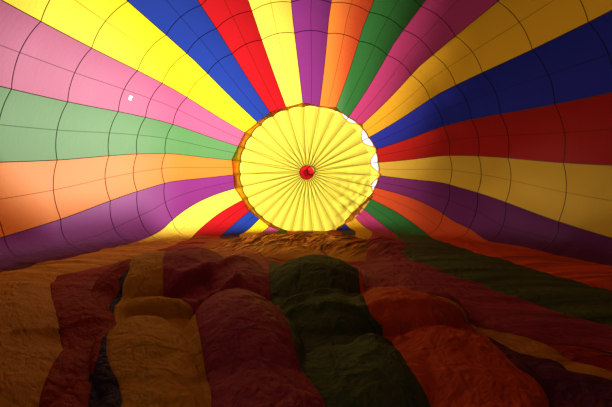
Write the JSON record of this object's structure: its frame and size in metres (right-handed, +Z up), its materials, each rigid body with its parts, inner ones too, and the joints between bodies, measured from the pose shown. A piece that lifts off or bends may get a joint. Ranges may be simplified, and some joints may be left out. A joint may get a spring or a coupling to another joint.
{
  "type": "hot air balloon envelope",
  "caption": "Hot air balloon envelope lying on its side, half inflated, with coloured gores, load tapes, crown ring and a sliding parachute valve.",
  "frame": {"origin": "on the ground, at the middle of the bounding box's base", "axes": "+Y along the envelope's length from the mouth to the crown, +Z up, +X to the right as seen from the mouth"},
  "size_m": [16.4921, 20.7368, 10.8944],
  "materials": {
    "cloth_yellow": "yellow coated ripstop nylon, thin enough for light to come through",
    "cloth_purple": "purple coated ripstop nylon, thin enough for light to come through",
    "cloth_orange": "orange coated ripstop nylon, thin enough for light to come through",
    "cloth_green": "green coated ripstop nylon, thin enough for light to come through",
    "cloth_pink": "pink coated ripstop nylon, thin enough for light to come through",
    "cloth_blue": "blue coated ripstop nylon, thin enough for light to come through",
    "cloth_red": "red coated ripstop nylon, thin enough for light to come through",
    "webbing": "dark woven polyester webbing",
    "hem_tape": "brown-orange woven hem tape",
    "ring_metal": "satin aluminium",
    "pull_ring_cord": "dark red covered ring"
  },
  "bodies": {
    "envelope": {"gore_01_orange": "cloth_orange", "gore_02_green": "cloth_green", "gore_03_pink": "cloth_pink", "gore_04_yellow": "cloth_yellow", "gore_05_blue": "cloth_blue", "gore_06_red": "cloth_red", "gore_07_yellow": "cloth_yellow", "gore_08_purple": "cloth_purple", "gore_09_orange": "cloth_orange", "gore_10_green": "cloth_green", "gore_11_pink": "cloth_pink", "gore_12_yellow": "cloth_yellow", "gore_13_blue": "cloth_blue", "gore_14_red": "cloth_red", "gore_15_yellow": "cloth_yellow", "gore_16_purple": "cloth_purple", "gore_17_orange": "cloth_orange", "gore_18_green": "cloth_green", "gore_19_pink": "cloth_pink", "gore_20_yellow": "cloth_yellow", "gore_21_blue": "cloth_blue", "gore_22_red": "cloth_red", "gore_23_yellow": "cloth_yellow", "gore_24_purple": "cloth_purple", "gore_25_orange": "cloth_orange", "gore_26_green": "cloth_green", "gore_27_pink": "cloth_pink", "gore_28_yellow": "cloth_yellow", "gore_29_blue": "cloth_blue", "gore_30_red": "cloth_red", "gore_31_yellow": "cloth_yellow", "gore_32_purple": "cloth_purple", "load_tapes": "webbing", "crown_rim_tape": "webbing", "crown_ring": "ring_metal"},
    "parachute": {"parachute_panel": "cloth_yellow", "parachute_hem": "hem_tape", "parachute_patch": "cloth_red", "parachute_pull_ring": "pull_ring_cord"}
  },
  "joints": [
    {"name": "parachute_slide", "type": "slide", "parent": "envelope", "child": "parachute", "axis": [0, -1, 0], "range_m": [0, 1.2]}
  ]
}
